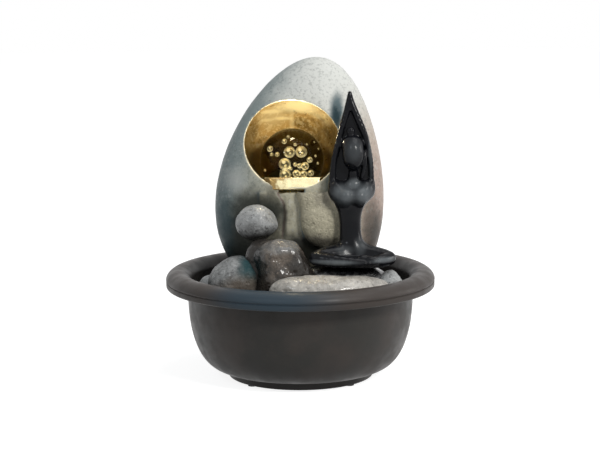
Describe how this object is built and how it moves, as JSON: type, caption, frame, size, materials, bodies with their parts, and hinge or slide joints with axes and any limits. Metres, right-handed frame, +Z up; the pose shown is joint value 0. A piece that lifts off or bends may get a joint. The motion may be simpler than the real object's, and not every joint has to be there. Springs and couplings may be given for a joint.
{
  "type": "tabletop water fountain",
  "caption": "Round bowl with a pump, an egg-shaped stone with a gilded niche and a turning glass ball, boulders and a seated figure; water falls back into the bowl.",
  "frame": {"origin": "on the bowl's axis, at the level of the table under the foot pads", "axes": "+Z up, +X to the right seen from the front, +Y to the back"},
  "size_m": [0.21, 0.2099, 0.2478],
  "materials": {
    "bowl_plastic": "satin moulded plastic, dark charcoal",
    "foam": "soft foam pad",
    "soft_rubber": "matt moulded rubber",
    "pump_plastic": "moulded plastic, fine texture",
    "laminated_steel": "stacked laminations",
    "copper_winding": "enamelled copper winding",
    "potting_resin": "cast resin",
    "shaft_ceramic": "ground ceramic",
    "bush_rubber": "moulded rubber bush",
    "ferrite": "bonded ferrite magnet",
    "filter_sponge": "open-cell sponge",
    "tray_resin": "cast resin, stone grey",
    "clear_hose": "clear soft tubing",
    "nozzle_plastic": "white moulded plastic",
    "circuit_board": "lacquered board",
    "lamp_resin": "warm lamp resin",
    "lamp_lens": "clear lens",
    "clear_glass": "polished clear glass with bubbles",
    "egg_stone": "speckled cast stone, light grey to olive",
    "gilding": "polished gilding",
    "wet_stone": "wet pitted stone, dark grey-brown",
    "grey_stone": "pitted stone, grey",
    "pale_stone": "wet pale stone",
    "black_stone": "wet black stone",
    "figure_glaze": "glossy black",
    "dowel_steel": "steel rod"
  },
  "bodies": {
    "bowl": {"bowl": "bowl_plastic", "bowl_rim": "bowl_plastic", "foot_pads": "foam", "cable_grommet": "soft_rubber", "suction_cups": "soft_rubber", "pump_housing": "pump_plastic", "stator_core": "laminated_steel", "stator_coil": "copper_winding", "pump_potting": "potting_resin", "volute_cover": "pump_plastic", "shaft_bushes": "bush_rubber", "impeller_shaft": "shaft_ceramic", "pump_cable_gland": "soft_rubber"},
    "impeller": {"rotor_magnet": "ferrite", "impeller_wheel": "pump_plastic"},
    "intake": {"intake_cover": "pump_plastic", "intake_filter": "filter_sponge"},
    "dial": {"flow_dial": "pump_plastic"},
    "scenery": {"rock_tray": "tray_resin", "supply_hose": "clear_hose", "water_nozzle": "nozzle_plastic", "nozzle_gasket": "soft_rubber", "nozzle_nut": "nozzle_plastic", "lamp_housing": "nozzle_plastic", "lamp_board": "circuit_board", "lamps": "lamp_resin", "lamp_lens": "lamp_lens", "ball_seat": "nozzle_plastic", "lamp_cable_gland": "soft_rubber", "egg_shell": "egg_stone", "gilt_niche": "gilding", "leaning_boulder": "grey_stone", "middle_boulder": "wet_stone", "shaded_boulder": "wet_stone", "round_stone": "grey_stone", "left_stone": "grey_stone", "edge_stone": "grey_stone", "figure_plinth": "black_stone", "front_slab": "pale_stone", "right_slab": "pale_stone", "seated_figure": "figure_glaze", "figure_dowel": "dowel_steel"},
    "ball": {"glass_ball": "clear_glass"},
    "hatch": {"rear_cover": "egg_stone"}
  },
  "joints": [
    {"name": "scenery_lift", "type": "slide", "parent": "bowl", "child": "scenery", "axis": [0, 0, 1], "range_m": [0, 0.09]},
    {"name": "ball_spin", "type": "hinge", "parent": "scenery", "child": "ball", "pos_m": [-0.006, 0.0185, 0.1676], "axis": [1, 0, 0], "continuous": true},
    {"name": "hatch_pull", "type": "slide", "parent": "scenery", "child": "hatch", "axis": [0, 1, 0], "range_m": [0, 0.02]},
    {"name": "impeller_spin", "type": "hinge", "parent": "bowl", "child": "impeller", "pos_m": [-0.006, 0.0185, 0.0307], "axis": [0, 1, 0], "continuous": true},
    {"name": "intake_pull", "type": "slide", "parent": "bowl", "child": "intake", "axis": [0, -1, 0], "range_m": [0, 0.02]},
    {"name": "dial_turn", "type": "hinge", "parent": "intake", "child": "dial", "pos_m": [-0.006, 0.0005, 0.0307], "axis": [0, 1, 0], "range_deg": [0, 45]}
  ]
}
